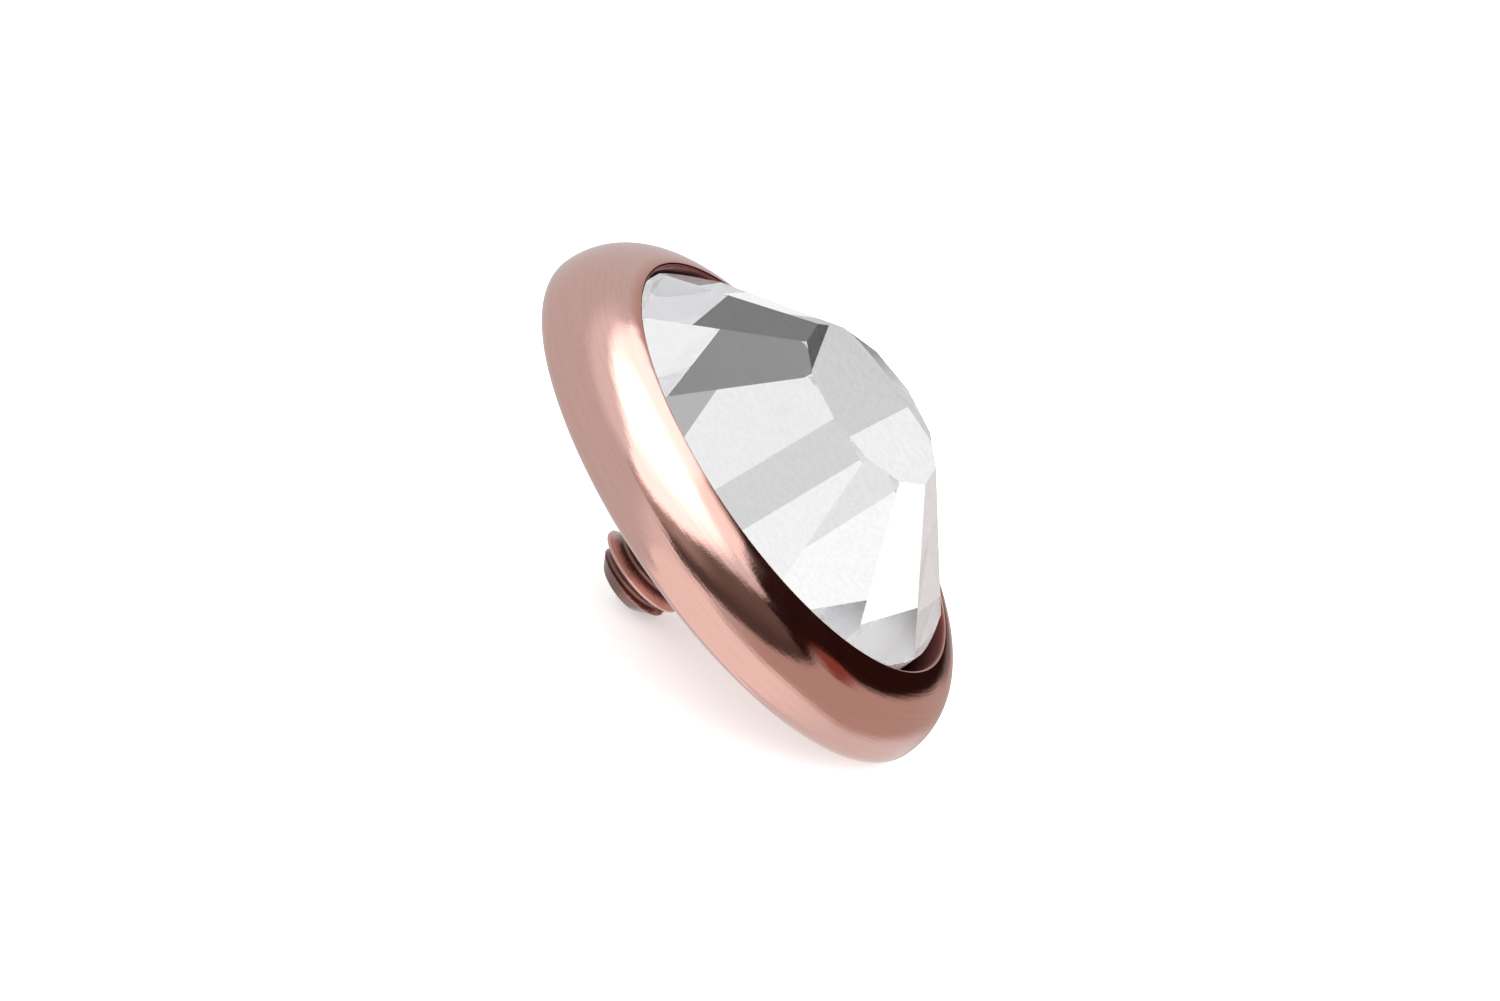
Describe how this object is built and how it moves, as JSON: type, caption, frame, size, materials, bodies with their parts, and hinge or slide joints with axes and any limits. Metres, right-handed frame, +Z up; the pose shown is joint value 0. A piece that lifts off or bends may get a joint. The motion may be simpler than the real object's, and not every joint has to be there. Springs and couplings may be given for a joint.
{
  "type": "dermal anchor top",
  "caption": "Dermal anchor top: a clear faceted flat-back stone in a thick rolled rose gold bezel cup, with a short threaded post at the back.",
  "frame": {"origin": "on the surface that the top lies on, under the middle of its box", "axes": "+Z up from that surface; the cup's axis leans from +Z towards +X, with the stone up and the end of the post down towards -X; +Y across"},
  "size_m": [0.0064, 0.007, 0.0041],
  "materials": {
    "rose_gold": "rose gold coating on metal, polished, with fine satin streaks along the rim",
    "foiled_crystal": "clear cut glass with flat polished facets and a mirror foil on its flat back"
  },
  "bodies": {
    "root": {"setting": "rose_gold", "stone": "foiled_crystal"}
  },
  "joints": []
}
